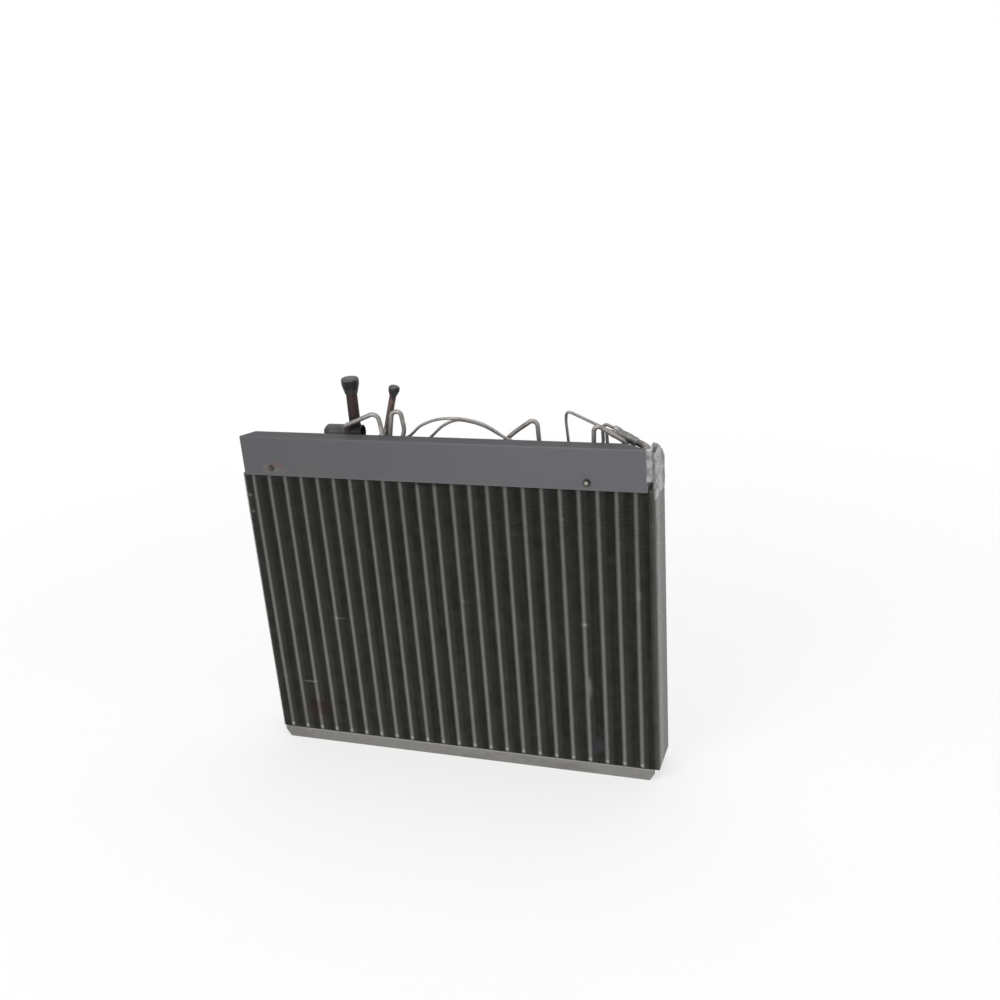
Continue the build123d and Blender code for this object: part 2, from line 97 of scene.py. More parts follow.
class Graph:
    def __init__(self, tree):
        self.tree = tree

    def node(self, kind, settings=None, values=(), out=0):
        made = self.tree.nodes.new(kind)
        for key, value in (settings or {}).items():
            if key == "stops":
                ramp = made.color_ramp.elements
                while len(ramp) < len(value):
                    ramp.new(1)
                for stop, (place, shade) in zip(ramp, value):
                    stop.position = place
                    stop.color = (*shade, 1)
            else:
                setattr(made, key, value)
        for key, value in values.items() if isinstance(values, dict) else enumerate(values):
            if isinstance(value, Sock):
                self.tree.links.new(value.socket, made.inputs[key])
            else:
                made.inputs[key].default_value = value
        return Sock(self, made.outputs[out])

    def parts(self, vector):
        split = self.node("ShaderNodeSeparateXYZ", None, [vector])
        return [Sock(self, out) for out in split.socket.node.outputs]

    def fade(self, value, low, high):      # 0 below low, 1 above high, smooth between
        return self.node("ShaderNodeMapRange", {"interpolation_type": "SMOOTHSTEP"},
                         [value, low, high, 0.0, 1.0])

    def speckle(self, where, scale, detail=2.0, rough=0.5, out=0):
        return self.node("ShaderNodeTexNoise", None,
                         {"Vector": where, "Scale": scale, "Detail": detail, "Roughness": rough}, out)


class Finish(Graph):
    def __init__(self, name, **constants):
        self.material = bpy.data.materials.new(name)
        self.material.use_nodes = True
        super().__init__(self.material.node_tree)
        self.tree.nodes.clear()
        self.shader = self.tree.nodes.new("ShaderNodeBsdfPrincipled")
        output = self.tree.nodes.new("ShaderNodeOutputMaterial")
        self.tree.links.new(self.shader.outputs[0], output.inputs[0])
        self.spot = self.node("ShaderNodeTexCoord", out="Object")
        self.x, self.y, self.z = self.parts(self.spot)
        for key, value in constants.items():
            self.shader.inputs[key.replace("_", " ").title().replace("Ior", "IOR")].default_value = value

    def stretched(self, x, y, z):      # the same place with each axis scaled
        return self.node("ShaderNodeVectorMath", {"operation": "MULTIPLY"}, [self.spot, (x, y, z)])

    def grain(self, scale, detail=2.0, rough=0.5, stretch=None):
        return self.speckle(self.stretched(*stretch) if stretch else self.spot, scale, detail, rough)

    def cells(self, scale, out="Distance", stretch=None):
        where = self.stretched(*stretch) if stretch else self.spot
        return self.node("ShaderNodeTexVoronoi", None, {"Vector": where, "Scale": scale}, out)

    def mix(self, amount, first, second):
        def colour(value):
            return (*value, 1) if isinstance(value, tuple) else value
        return self.node("ShaderNodeMix", {"data_type": "RGBA"},
                         {0: amount, 6: colour(first), 7: colour(second)}, 2)

    def near(self, place, size, stretch=(1, 1, 1)):      # 1 at a place, 0 from size on
        away = self.node("ShaderNodeVectorMath", {"operation": "SUBTRACT"}, [self.spot, tuple(place)])
        away = self.node("ShaderNodeVectorMath", {"operation": "MULTIPLY"}, [away, stretch])
        far = self.node("ShaderNodeVectorMath", {"operation": "LENGTH"}, [away], "Value")
        return 1 - self.fade(far, 0.0, size)

    def bump(self, height, distance, strength=1.0):
        made = self.node("ShaderNodeBump", None,
                         {"Strength": strength, "Distance": distance, "Height": height})
        self.put(Normal=made)

    def put(self, **sockets):
        for key, value in sockets.items():
            self.tree.links.new(value.socket, self.shader.inputs[key.replace("_", " ")])
        return self


# Finishes
finTone = {"gap": (0.056, 0.054, 0.048), "dusty": (0.100, 0.096, 0.086), "lee": (0.150, 0.147, 0.137),
           "collarSheen": (0.160, 0.157, 0.147), "bead": (0.34, 0.335, 0.32), "bare": (0.30, 0.295, 0.285),
           "rust": (0.085, 0.050, 0.042), "violet": (0.082, 0.074, 0.094), "moss": (0.20, 0.20, 0.12)}
finMarks = [      # x and z in mm, half width and half height, share, tone
    (51, 57, 24, 18, 0.6, "rust"), (496, 49, 17, 19, 0.85, "violet"), (107, 24, 8, 4, 0.6, "moss"),
    (42, 103, 17, 2.2, 0.7, "bare"), (108, 217, 20, 2, 0.4, "bare"), (-10.8, 406, 4, 4, 0.9, "bead"),
    (-10.2, 381, 4, 4, 0.9, "bead"), (487, 142, 3, 26, 0.7, "bare"), (483.5, 240.6, 5, 3, 0.5, "bare"),
    # The mark at x 269, z 438 is painted shade under the shield's lower edge.
    (460, 395, 5, 3, 0.4, "bare"), (269, 438, 46, 9, 0.9, "gap"), (582, 392, 3, 5, 0.7, "bare")]


def finMetal():      # bare aluminium: painted shade between the tubes, a painted sheen at the tube collars, and dust
    f = Finish("fin aluminium", metallic=0.35, roughness=0.5)
    across = f.x - firstTube
    fromTube = across.zigzag(tubes["pitch"] / 2)
    worn = f.grain(38, 3, 0.6, (1, 1, 0.6))
    drawn = f.grain(170, 3, 0.6, (1, 1, 0.03))      # long streaks down the pack
    dust = f.fade(f.grain(60, 4, 0.65) * 0.5 + drawn * 0.5, 0.38, 0.62)
    # Painted shade: the fins' base tone is the dark between the fin sheets, lightened by dust.
    tone = f.mix(dust, finTone["gap"], finTone["dusty"])
    lee = (across - 6 * mm).zigzag(tubes["pitch"] / 2)      # the paler metal just right of each tube
    tone = f.mix((1 - f.fade(lee, 1 * mm, 6 * mm)) * (worn * 1.3).atMost(1.0), tone, finTone["lee"])
    # Painted sheen: paler stripes over the tubes, where their collars catch the light.
    collarSheen = 1 - f.fade(fromTube + (worn - 0.5) * 1.6 * mm, 0.2 * mm, 4.3 * mm)
    collarSheen = collarSheen * (1 - f.near(at(0, 0, 30), 1.0, (7, 0, 9)) * 0.5)
    tone = f.mix(collarSheen * (0.55 + worn * 0.8), tone, finTone["collarSheen"])
    bead = (1 - f.fade(fromTube, 1.2 * mm, 3.4 * mm)) * f.fade(f.z, 20 * mm, 21.5 * mm)
    tone = f.mix(bead * (1 - f.fade(f.z, 24 * mm, 26 * mm)) * 0.8, tone, finTone["bead"])
    for x, z, wide, high, share, name in finMarks:
        mark = f.near(at(x, 0, z), 1.0, (1 / (wide * mm), 1 / (60 * mm), 1 / (high * mm)))
        tone = f.mix((mark * 1.7 * (0.6 + worn * 0.7)).atMost(1.0) * share, tone, finTone[name])
    f.put(Base_Color=tone, Roughness=0.42 + f.grain(240) * 0.25)
    f.bump(f.grain(900, 2), 0.05 * mm, 0.6)
    return f.material


zincTone = {"light": (0.275, 0.27, 0.255), "dark": (0.235, 0.23, 0.215), "grime": (0.13, 0.12, 0.105),
            "shade": (0.020, 0.019, 0.018)}


def galvanisedSheet():      # zinc spangle under a thin film of grime
    f = Finish("galvanised sheet", metallic=0.45)
    patch = f.cells(150, "Color")
    shade = f.parts(patch)[0]
    tone = f.mix(shade, zincTone["dark"], zincTone["light"])
    streak = f.fade(f.grain(9, 4, 0.6, (1, 1, 4)), 0.5, 0.75)
    worst = 1 - f.fade(f.x, cadBox[0].x, cadBox[1].x) * 0.6      # dirtier towards the left
    tone = f.mix(streak * 0.3 + worst * 0.28, tone, zincTone["grime"])
    # Painted shade under the crumpled foil
    corner = f.fade(f.x, at(570, 0, 0).x, at(574, 0, 0).x) * f.fade(f.z, 420 * mm, 430 * mm)
    tone = f.mix(corner, tone, zincTone["shade"])
    f.put(Base_Color=tone, Roughness=0.46 + shade * 0.1 + streak * 0.15)
    f.bump(f.grain(420, 3) + shade * 0.2, 0.05 * mm, 0.4)
    return f.material


shieldTone = {"left": (0.068, 0.067, 0.075), "right": (0.091, 0.093, 0.102), "scuff": (0.13, 0.128, 0.135),
              "fold": (0.043, 0.042, 0.047), "rust": (0.115, 0.062, 0.055), "dust": (0.125, 0.112, 0.095),
              "hemHighlight": (0.115, 0.105, 0.112), "ring": (0.020, 0.018, 0.017)}
shieldMarks = [      # x and z in mm, half width and half height, share, tone
    (44, 456, 15, 3.5, 0.9, "rust"), (52, 452, 7, 8, 0.7, "rust"), (27, 450, 11, 11, 0.6, "dust"),
    # The last mark darkens a ring round the right screw.
    (42, 446, 20, 7, 0.7, "dust"), (95, 447, 26, 7, 0.25, "rust"), (495.5, 448.8, 8.5, 8.5, 0.8, "ring")]


def shieldGrey():      # matte cool grey, rusted round the left screw
    f = Finish("grey shield sheet", metallic=0.0)
    low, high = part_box("header_shield")
    tone = f.mix(f.fade(f.x, low.x, high.x), shieldTone["left"], shieldTone["right"])
    cloud = f.grain(11, 4, 0.55)
    tone = f.mix((cloud - 0.35).atLeast(0.0) * 0.4, tone, shieldTone["scuff"])
    # Painted highlight along the lower hem, broken by noise.
    hemHighlight = 1 - f.fade(f.z, low.z, low.z + 3 * mm)
    tone = f.mix(hemHighlight * (f.grain(30) * 1.3).atMost(1.0) * 0.6, tone, shieldTone["hemHighlight"])
    # Painted shade on the folded top flange and on all faces behind the front.
    tone = f.mix(f.fade(f.y, low.y + 1 * mm, low.y + 3 * mm), tone, shieldTone["fold"])
    broken = f.fade(f.grain(160, 4, 0.7), 0.36, 0.6)
    for x, z, wide, high, share, name in shieldMarks:
        mark = f.near(at(x, 0, z), 1.0, (1 / (wide * mm), 0, 1 / (high * mm)))
        hold = 1.0 if name == "ring" else broken
        tone = f.mix((mark * 1.8).atMost(1.0) * hold * share, tone, shieldTone[name])
    f.put(Base_Color=tone, Roughness=0.5 + cloud * 0.16)
    f.bump(f.grain(700, 3) + f.grain(9) * 6, 0.05 * mm, 0.35)
    return f.material


screwTone = {"zinc": (0.32, 0.305, 0.27), "washer": (0.045, 0.042, 0.036), "rust": (0.098, 0.078, 0.074),
             "pit": (0.066, 0.052, 0.049)}


def screwMetal():      # dull zinc in the middle of the right screw's head and dark round it, the left screw rusted over
    f = Finish("screw metal", metallic=0.5)
    low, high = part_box("shield_screws")
    half = (high.z - low.z) / 2
    onRight = f.node("ShaderNodeCombineXYZ", None, [f.x - (high.x - half), 0.0, f.z - (low.z + half)])
    far = f.node("ShaderNodeVectorMath", {"operation": "LENGTH"}, [onRight], "Value")
    right = f.mix(f.fade(far, 2 * mm, 3 * mm), screwTone["zinc"], screwTone["washer"])
    rust = f.mix(f.fade(f.grain(900, 3), 0.4, 0.65), screwTone["rust"], screwTone["pit"])
    left = 1 - f.fade(f.x, -0.05, 0.05)
    f.put(Base_Color=f.mix(left, right, rust), Roughness=0.42 + left * 0.3)
    f.bump(f.grain(1400, 3) * left, 0.1 * mm, 0.6)
    return f.material


copperTone = {"clean": (0.50, 0.26, 0.17), "brown": (0.22, 0.11, 0.075), "scale": (0.07, 0.055, 0.05)}


def drawnCopper():      # tarnished, scaled dark where it was brazed
    f = Finish("drawn copper", metallic=0.85)
    tarnish = f.fade(f.grain(42, 4, 0.6), 0.35, 0.7)
    tone = f.mix(tarnish, copperTone["clean"], copperTone["brown"])
    torch = 1 - f.fade(f.z - (f.grain(70, 3) - 0.5) * 14 * mm, 449 * mm, 460 * mm)
    torch = torch * f.fade(f.z, 430 * mm, 441 * mm)
    tone = f.mix(torch * 0.8, tone, copperTone["scale"])
    f.put(Base_Color=tone, Roughness=0.34 + tarnish * 0.15 + torch * 0.25)
    f.bump(f.grain(800, 3), 0.04 * mm, 0.4)
    return f.material


lineTone = {"pale": (0.31, 0.295, 0.285), "tarnished": (0.215, 0.195, 0.185), "low": (0.080, 0.077, 0.076)}


def dullCopper():      # thin lines gone grey
    f = Finish("dull copper line", metallic=0.6)
    spots = f.fade(f.grain(75, 4, 0.62), 0.42, 0.7)
    tone = f.mix(spots, lineTone["pale"], lineTone["tarnished"])
    # Painted shade: the lines get darker below about 490 mm, on the upright runs.
    low = 1 - f.fade(f.z, 474 * mm, 494 * mm)
    tone = f.mix(low * 0.75, tone, lineTone["low"])
    f.put(Base_Color=tone, Roughness=0.40 + spots * 0.2)
    f.bump(f.grain(900, 3), 0.04 * mm, 0.4)
    return f.material


stubTone = {"brown": (0.040, 0.024, 0.023), "black": (0.018, 0.016, 0.016), "red": (0.085, 0.040, 0.036),
            "pale": (0.26, 0.235, 0.215), "warm": (0.125, 0.085, 0.068), "edge": (0.075, 0.070, 0.072)}


def darkCopper():      # the suction side: scorched brown and black, with painted shade at the stub's foot
    f = Finish("scorched copper", metallic=0.3, specular_ior_level=0.3)
    blackening = f.fade(f.grain(55, 4, 0.65, (1, 1, 0.35)), 0.38, 0.66)
    tone = f.mix(blackening, stubTone["brown"], stubTone["black"])
    fleck = f.fade(f.grain(190, 3, 0.6, (1, 1, 0.4)), 0.56, 0.72)
    tone = f.mix(fleck * 0.6, tone, stubTone["red"])
    # Black round the stub's foot: scorch, and painted shade under the feeder line.
    footScorchAndShade = 1 - f.fade(f.z + (f.grain(60) - 0.5) * 8 * mm, 505 * mm, 513 * mm)
    tone = f.mix(footScorchAndShade * 0.8, tone, stubTone["black"])
    f.put(Base_Color=tone, Roughness=0.5 + blackening * 0.15)
    f.bump(f.grain(500, 4), 0.12 * mm, 0.5)
    return f.material


headerTone = {"grey": (0.082, 0.080, 0.082), "dark": (0.035, 0.032, 0.032), "dust": (0.115, 0.114, 0.114),
              "blackening": (0.008, 0.008, 0.008)}


def headerCopper():      # dark grey, black round the stub's foot from scorch and painted shade, and painted shade right of it
    f = Finish("header copper", metallic=0.2, specular_ior_level=0.3)
    worn = f.fade(f.grain(60, 4, 0.65), 0.38, 0.66)
    tone = f.mix(worn, headerTone["grey"], headerTone["dark"])
    # Paler along the top: a painted highlight from the light above, with dust.
    dust = f.fade(f.z, 496 * mm, 504 * mm)
    tone = f.mix(dust * 0.7, tone, headerTone["dust"])
    low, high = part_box("suction_stub")
    foot = Vector(((low.x + high.x) / 2, (low.y + high.y) / 2, low.z))
    ragged = (f.grain(90, 3) - 0.5) * 10 * mm
    away = f.node("ShaderNodeVectorMath", {"operation": "DISTANCE"}, [f.spot, tuple(foot)], "Value")
    # Black round the stub's foot is scorch and painted shade; everything right of the foot is painted shade.
    scorchAndShade = 1 - f.fade(away + ragged, 11 * mm, 19 * mm)
    scorchAndShade = scorchAndShade.atLeast(f.fade(f.x - foot.x, -3 * mm, 4 * mm))
    f.put(Base_Color=f.mix(scorchAndShade, tone, headerTone["blackening"]), Roughness=0.5 + worn * 0.15)
    f.bump(f.grain(500, 4), 0.1 * mm, 0.5)
    return f.material


def liquidCopper():      # brown at the stub, pale grey lower down
    f = Finish("liquid line copper", metallic=0.5)
    spots = f.fade(f.grain(90, 4, 0.62), 0.4, 0.68)
    brown = f.mix(spots, stubTone["warm"], stubTone["brown"])
    pale = f.mix(spots, stubTone["pale"], stubTone["edge"])
    up = f.fade(f.z + (f.grain(40) - 0.5) * 16 * mm, 500 * mm, 528 * mm)
    f.put(Base_Color=f.mix(up, pale, brown), Roughness=0.44 + spots * 0.15)
    f.bump(f.grain(700, 3), 0.06 * mm, 0.45)
    return f.material


brassTone = {"clean": (0.27, 0.262, 0.25), "dull": (0.15, 0.145, 0.14)}


def turnedBrass():      # dull turned brass with faint tool rings
    f = Finish("turned brass", metallic=0.65)
    spots = f.fade(f.grain(110, 4, 0.6), 0.4, 0.7)
    tone = f.mix(spots, brassTone["clean"], brassTone["dull"])
    f.put(Base_Color=tone, Roughness=0.36 + spots * 0.2)
    f.bump(f.grain(1500, 2, 0.5, (4, 0.3, 0.3)), 0.04 * mm, 0.4)
    return f.material


capTone = {"black": (0.012, 0.013, 0.012), "bloom": (0.036, 0.039, 0.036), "rim": (0.085, 0.085, 0.088),
           "skirt": (0.050, 0.053, 0.050)}


def capRubber():      # black rubber with a greenish bloom and a painted highlight round the top
    f = Finish("cap rubber", metallic=0.0, specular_ior_level=0.15)
    bloom = f.fade(f.grain(160, 4, 0.6), 0.42, 0.7)
    tone = f.mix(bloom, capTone["black"], capTone["bloom"])
    for name in ("suction_stub_cap", "liquid_stub_cap"):
        low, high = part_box(name)
        # Painted highlight round the top of each cap.
        height = f.z - high.z + (f.grain(120, 3) - 0.5) * 2 * mm
        own = 1 - f.fade(f.node("ShaderNodeMath", {"operation": "ABSOLUTE"}, [f.x - (low.x + high.x) / 2]),
                         15 * mm, 18 * mm)
        tone = f.mix(f.fade(height, -5 * mm, -2 * mm) * own, tone, capTone["rim"])
        skirt = 1 - f.fade(f.z, low.z + 4 * mm, low.z + 9 * mm)
        tone = f.mix(skirt * own * 0.6, tone, capTone["skirt"])
    f.put(Base_Color=tone, Roughness=0.36 + bloom * 0.2)
    f.bump(f.grain(900, 3), 0.08 * mm, 0.5)
    return f.material


brazeTone = {"alloy": (0.42, 0.36, 0.27), "flux": (0.12, 0.10, 0.085)}


def brazeAlloy():      # set alloy round the joints
    f = Finish("braze alloy", metallic=0.75)
    flux = f.fade(f.grain(300, 3, 0.6), 0.45, 0.65)
    tone = f.mix(flux, brazeTone["alloy"], brazeTone["flux"])
    f.put(Base_Color=tone, Roughness=0.35 + flux * 0.35)
    f.bump(f.grain(1200, 3), 0.1 * mm, 0.6)
    return f.material


foilTone = {"bright": (0.42, 0.42, 0.42), "grey": (0.18, 0.18, 0.18), "pink": (0.195, 0.175, 0.167),
            "pale": (0.215, 0.209, 0.203), "flat": (0.118, 0.116, 0.111), "flatLight": (0.140, 0.138, 0.132),
            "dirt": (0.075, 0.072, 0.068), "black": (0.010, 0.010, 0.010),
            "shade": (0.060, 0.058, 0.055)}


def cornerFoilSkin():      # crumpled aluminium
    f = Finish("crumpled foil", metallic=0.7)
    dull = f.fade(f.grain(65, 4, 0.65), 0.38, 0.68)
    tone = f.mix(dull, foilTone["bright"], foilTone["grey"])
    dirt = f.fade(f.grain(150, 4, 0.7), 0.56, 0.72)
    tone = f.mix(dirt * 0.6, tone, foilTone["dirt"])
    corner = 1 - f.fade(f.node("ShaderNodeMath", {"operation": "ABSOLUTE"}, [f.y - finLow.y - 3 * mm]),
                        2 * mm, 8 * mm)
    corner = corner * f.fade(f.x, at(580.5, 0, 0).x, at(582.5, 0, 0).x)
    tone = f.mix(corner * 0.6, tone, foilTone["shade"])
    # Painted shade of a deep fold, as a black spot; the foil's mesh has no hole there.
    hollowShade = f.near(at(584, 10, 494), 1.0, (0, 1 / (12 * mm), 1 / (6 * mm)))
    tone = f.mix((hollowShade * 2.6).atMost(1.0), tone, foilTone["black"])
    f.put(Base_Color=tone, Roughness=0.36 + dull * 0.2)
    f.bump(f.cells(330) + f.grain(600, 3) * 0.5, 0.2 * mm, 0.4)
    return f.material


def sideFoilSkin():      # tape pressed on the fin edges, rough and reddish towards the front
    f = Finish("side foil tape", metallic=0.4)
    depth = f.y - finLow.y
    edge = (f.grain(30, 3, 0.6, (1, 1, 0.5)) - 0.5) * 26 * mm
    back = f.fade(depth + edge, 24 * mm, 40 * mm)
    rough = f.fade(f.grain(170, 4, 0.7, (1, 1, 1.6)), 0.42, 0.66)
    front = f.mix(rough, foilTone["pale"], foilTone["pink"])
    front = f.mix(f.fade(f.grain(110, 4, 0.75, (1, 1, 2)), 0.5, 0.68) * 0.75, front, foilTone["dirt"])
    flat = f.mix(f.grain(20, 3, 0.5, (1, 1, 0.15)), foilTone["flat"], foilTone["flatLight"])
    torn = (f.grain(24, 4, 0.6, (0.2, 0.2, 1)) - 0.5) * 16 * mm      # fin corners left bare, in the fins' painted shade tone
    bare = 1 - f.fade(depth + torn, 7 * mm, 11 * mm)
    tone = f.mix(bare, f.mix(back, front, flat), finTone["gap"])
    f.put(Base_Color=tone, Roughness=0.44 + rough * 0.15)
    f.bump(f.grain(260, 4) * (1 - back) + f.grain(700, 2) * 0.2, 0.5 * mm, 0.5)
    return f.material


finishes = {"fins": finMetal(), "galvanised": galvanisedSheet(), "shield": shieldGrey(),
            "screws": screwMetal(), "copper": drawnCopper(), "dull": dullCopper(),
            "dark": darkCopper(), "header": headerCopper(), "liquid": liquidCopper(),
            "brass": turnedBrass(), "rubber": capRubber(), "braze": brazeAlloy(),
            "foil": cornerFoilSkin(), "tape": sideFoilSkin()}
print("finishes made")


# Making pieces
def newPiece(name, mesh, finish):
    piece = bpy.data.objects.new(name, mesh)
    bpy.context.scene.collection.objects.link(piece)
    if not mesh.materials:
        mesh.materials.append(finishes[finish])
    return piece


def meshOf(name, points, faces, smooth=True):
    mesh = bpy.data.meshes.new(name)
    mesh.from_pydata([tuple(p) for p in points], [], faces)
    if smooth:
        mesh.shade_smooth()
    return mesh


def gridFaces(columns, rows, closed=False):      # quads over points stored column by column
    spans = columns if closed else columns - 1
    return [(i * rows + j, (i + 1) % columns * rows + j,
             (i + 1) % columns * rows + j + 1, i * rows + j + 1)
            for i in range(spans) for j in range(rows - 1)]


def outwards(mesh):
    shape = bmesh.new()
    shape.from_mesh(mesh)
    bmesh.ops.remove_doubles(shape, verts=shape.verts, dist=1e-7)
    bmesh.ops.recalc_face_normals(shape, faces=shape.faces)
    shape.to_mesh(mesh)
    shape.free()
    return mesh


class GeoTree(Graph):      # a geometry tree with named inputs
    def __init__(self, name, **inputs):
        super().__init__(bpy.data.node_groups.new(name, "GeometryNodeTree"))
        kinds = {int: "NodeSocketInt", float: "NodeSocketFloat"}
        face = self.tree.interface
        face.new_socket("Geometry", in_out="INPUT", socket_type="NodeSocketGeometry")
        face.new_socket("Geometry", in_out="OUTPUT", socket_type="NodeSocketGeometry")
        self.keys = {}
        for key, value in inputs.items():
            made = face.new_socket(key, in_out="INPUT", socket_type=kinds[type(value)])
            made.default_value = value
            self.keys[key] = made.identifier
        self.start = self.tree.nodes.new("NodeGroupInput")

    def given(self, key):
        return Sock(self, self.start.outputs[key])

    def finish(self, shape, finish):
        shape = self.node("GeometryNodeRealizeInstances", None, {"Geometry": shape})
        shape = self.node("GeometryNodeSetMaterial", None, {"Geometry": shape,
                                                            "Material": finishes[finish]})
        end = self.tree.nodes.new("NodeGroupOutput")
        self.tree.links.new(shape.socket, end.inputs[0])

    def grow(self, name, seedMesh, finish, **values):      # a plain mesh piece from the tree
        seed = bpy.data.objects.new(name + "_seed", seedMesh)
        bpy.context.scene.collection.objects.link(seed)
        modifier = seed.modifiers.new("grow", "NODES")
        modifier.node_group = self.tree
        for key, value in values.items():
            modifier[self.keys[key]] = value
        seed.update_tag()
        evaluated = seed.evaluated_get(bpy.context.evaluated_depsgraph_get())
        mesh = bpy.data.meshes.new_from_object(evaluated)
        mesh.name = name
        bpy.data.objects.remove(seed)
        return newPiece(name, mesh, finish)


# Fins: one thin plate repeated up the tubes
fins = {"spacing": 1.81 * mm, "cadSheet": 0.2 * mm, "sheet": 0.15 * mm, "lipDrop": 1.2 * mm,
        "lipDepth": 1.0 * mm, "landHalf": 0.8 * mm, "landEnd": 4.4 * mm, "wave": 0.28 * mm,
        "jitter": 0.08 * mm, "groups": ("fins_lower", "fins_middle", "fins_upper")}
dents = [      # x and z in mm, width and height of the patch, drop and push of the edge
    (42, 103, 15, 3, 0.9, 0.5), (108, 217, 17, 3, 0.6, 0.3), (-13, 406, 4, 7, 1.2, 1.2),
    (-13, 381, 4, 7, 1.0, 1.0), (487, 142, 4, 24, 0.9, 0.5), (496, 49, 16, 16, 0.8, 0.6),
    (483, 240, 9, 4, 0.8, 0.4), (310, 262, 9, 4, 0.6, 0.4), (170, 330, 7, 5, 0.5, 0.4),
    (395, 370, 8, 4, 0.6, 0.3), (92, 40, 10, 6, 0.6, 0.5), (560, 290, 8, 10, 0.7, 0.6)]


def finStations():
    pitch = tubes["pitch"]
    reach = [-fins["landEnd"], -fins["landHalf"], fins["landHalf"], fins["landEnd"],
             0.37 * pitch, 0.63 * pitch]
    xs = {finLow.x, finHigh.x}
    for column in range(-1, tubes["columns"]):
        xs |= {firstTube + column * pitch + step for step in reach}
    return sorted(x for x in xs if finLow.x <= x <= finHigh.x)


def lipAt(x):      # how far the edge is turned down there
    offset = (x - firstTube) % tubes["pitch"]
    away = min(offset, tubes["pitch"] - offset)
    share = (fins["landEnd"] - away) / (fins["landEnd"] - fins["landHalf"])
    return fins["lipDrop"] * min(1.0, max(0.0, share))


def oneFin():      # its lower side at z = 0
    rows = [(finLow.y, 1), (finLow.y + fins["lipDepth"], 0), (finHigh.y - fins["lipDepth"], 0),
            (finHigh.y, 1)]
    ring = [(y, turned, 0) for y, turned in rows] + [(y, turned, 1) for y, turned in rows[::-1]]
    stations = finStations()
    points = [(x, y, -turned * lipAt(x) + side * fins["sheet"])
              for x in stations for y, turned, side in ring]
    count = len(ring)
    faces = [(i * count + j, i * count + (j + 1) % count,
              (i + 1) * count + (j + 1) % count, (i + 1) * count + j)
             for i in range(len(stations) - 1) for j in range(count)]
    last = (len(stations) - 1) * count
    for j in range(len(rows) - 1):      # end caps
        quad = (j, j + 1, count - 2 - j, count - 1 - j)
        faces += [quad, tuple(last + k for k in quad[::-1])]
    return outwards(meshOf("one_fin", points, faces, smooth=False))


def finTree():
    g = GeoTree("stack of fins", Count=10, Step=1.0, Bottom=0.0, Jitter=0.0, Wave=0.0, Seed=0)
    step = g.node("ShaderNodeCombineXYZ", None, {2: g.given("Step")})
    bottom = g.node("ShaderNodeCombineXYZ", None, {2: g.given("Bottom")})
    line = g.node("GeometryNodeMeshLine", {"mode": "OFFSET"}, {
        "Count": g.given("Count"), "Start Location": bottom, "Offset": step})
    stack = g.node("GeometryNodeInstanceOnPoints", None,
                   {"Points": line, "Instance": g.given("Geometry")})
    shake = g.node("FunctionNodeRandomValue", {"data_type": "FLOAT"},
                   {"Min": g.given("Jitter") * -1, "Max": g.given("Jitter"),
                    "Seed": g.given("Seed")}, 1)
    shift = g.node("ShaderNodeCombineXYZ", None, {2: shake})
    stack = g.node("GeometryNodeTranslateInstances", None,
                   {"Instances": stack, "Translation": shift})
    stack = g.node("GeometryNodeRealizeInstances", None, {"Geometry": stack})
    place = g.node("GeometryNodeInputPosition")
    x, y, z = g.parts(place)
    wave = (g.speckle(place, 26) - 0.5) * g.given("Wave")
    edge = 1 - g.fade(y, finLow.y, finLow.y + 2 * mm)
    drop = push = 0.0
    for dentX, dentZ, width, height, down, inward in dents:
        centre = at(dentX, 0, dentZ)
        across = (x - centre.x) / (width * mm)
        along = (z - centre.z) / (height * mm)
        share = (1 - (across * across + along * along)).atLeast(0.0) * edge
        drop = share * (down * mm) + drop
        push = share * (inward * mm) + push
    level = (z + wave - drop).atLeast(finLow.z).atMost(finHigh.z)
    moved = g.node("ShaderNodeCombineXYZ", None, [x, y + push, level])
    stack = g.node("GeometryNodeSetPosition", None, {"Geometry": stack, "Position": moved})
    g.finish(stack, "fins")
    return g


def makeFins():
    gaps = round((finHigh.z - finLow.z - fins["cadSheet"]) / fins["spacing"])
    step = (finHigh.z - finLow.z - fins["cadSheet"]) / gaps
    share = (gaps + 1) // len(fins["groups"])
    tree, plate = finTree(), oneFin()
    made = []
    for i, name in enumerate(fins["groups"]):
        made.append(tree.grow(name, plate, "fins", Count=share, Step=step, Seed=i + 1,
                              Bottom=finLow.z + i * share * step, Jitter=fins["jitter"],
                              Wave=fins["wave"]))
    print("fins:", share * len(made), "of", gaps + 1)
    return made


for piece in makeFins():
    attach(piece, "root")
    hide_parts("fin_pack")


# Braze at the tube tops
joint = {"rim": 5.28 * mm, "tube": 4.7 * mm, "height": 1.5 * mm, "segments": 14, "jitter": 0.12}


def tubeWalk():      # the way the circuits run, tube by tube
    last = tubes["columns"] - 2
    walk = []
    for k in range(last):
        column = [(2, k), (1, k), (0, k)]
        walk += column if k % 2 == 0 else column[::-1]
    near, far = (0, 2) if last % 2 else (2, 0)
    return walk + [(near, last), (near, last + 1), (1, last), (far, last + 1), (far, last)]


def bendEnds():      # tubes that carry a return bend, not a thin line
    walk = tubeWalk()
    hairpins = len(walk) // 2
    short = tubes["circuits"] - hairpins % tubes["circuits"]
    ends, start = [], 0
    for i in range(tubes["circuits"]):
        count = 2 * (hairpins // tubes["circuits"] + (0 if i < short else 1))
        ends += walk[start + 1:start + count - 1]
        start += count
    return ends


def ringMesh(name, profile, segments):      # profile of radius and height, turned about Z
    points = [(r * cos(tau * i / segments), r * sin(tau * i / segments), z)
              for i in range(segments) for r, z in profile]
    rows = len(profile)
    faces = [(i * rows + j, (i + 1) % segments * rows + j, (i + 1) % segments * rows + (j + 1) % rows,
              i * rows + (j + 1) % rows) for i in range(segments) for j in range(rows)]
    return outwards(meshOf(name, points, faces))


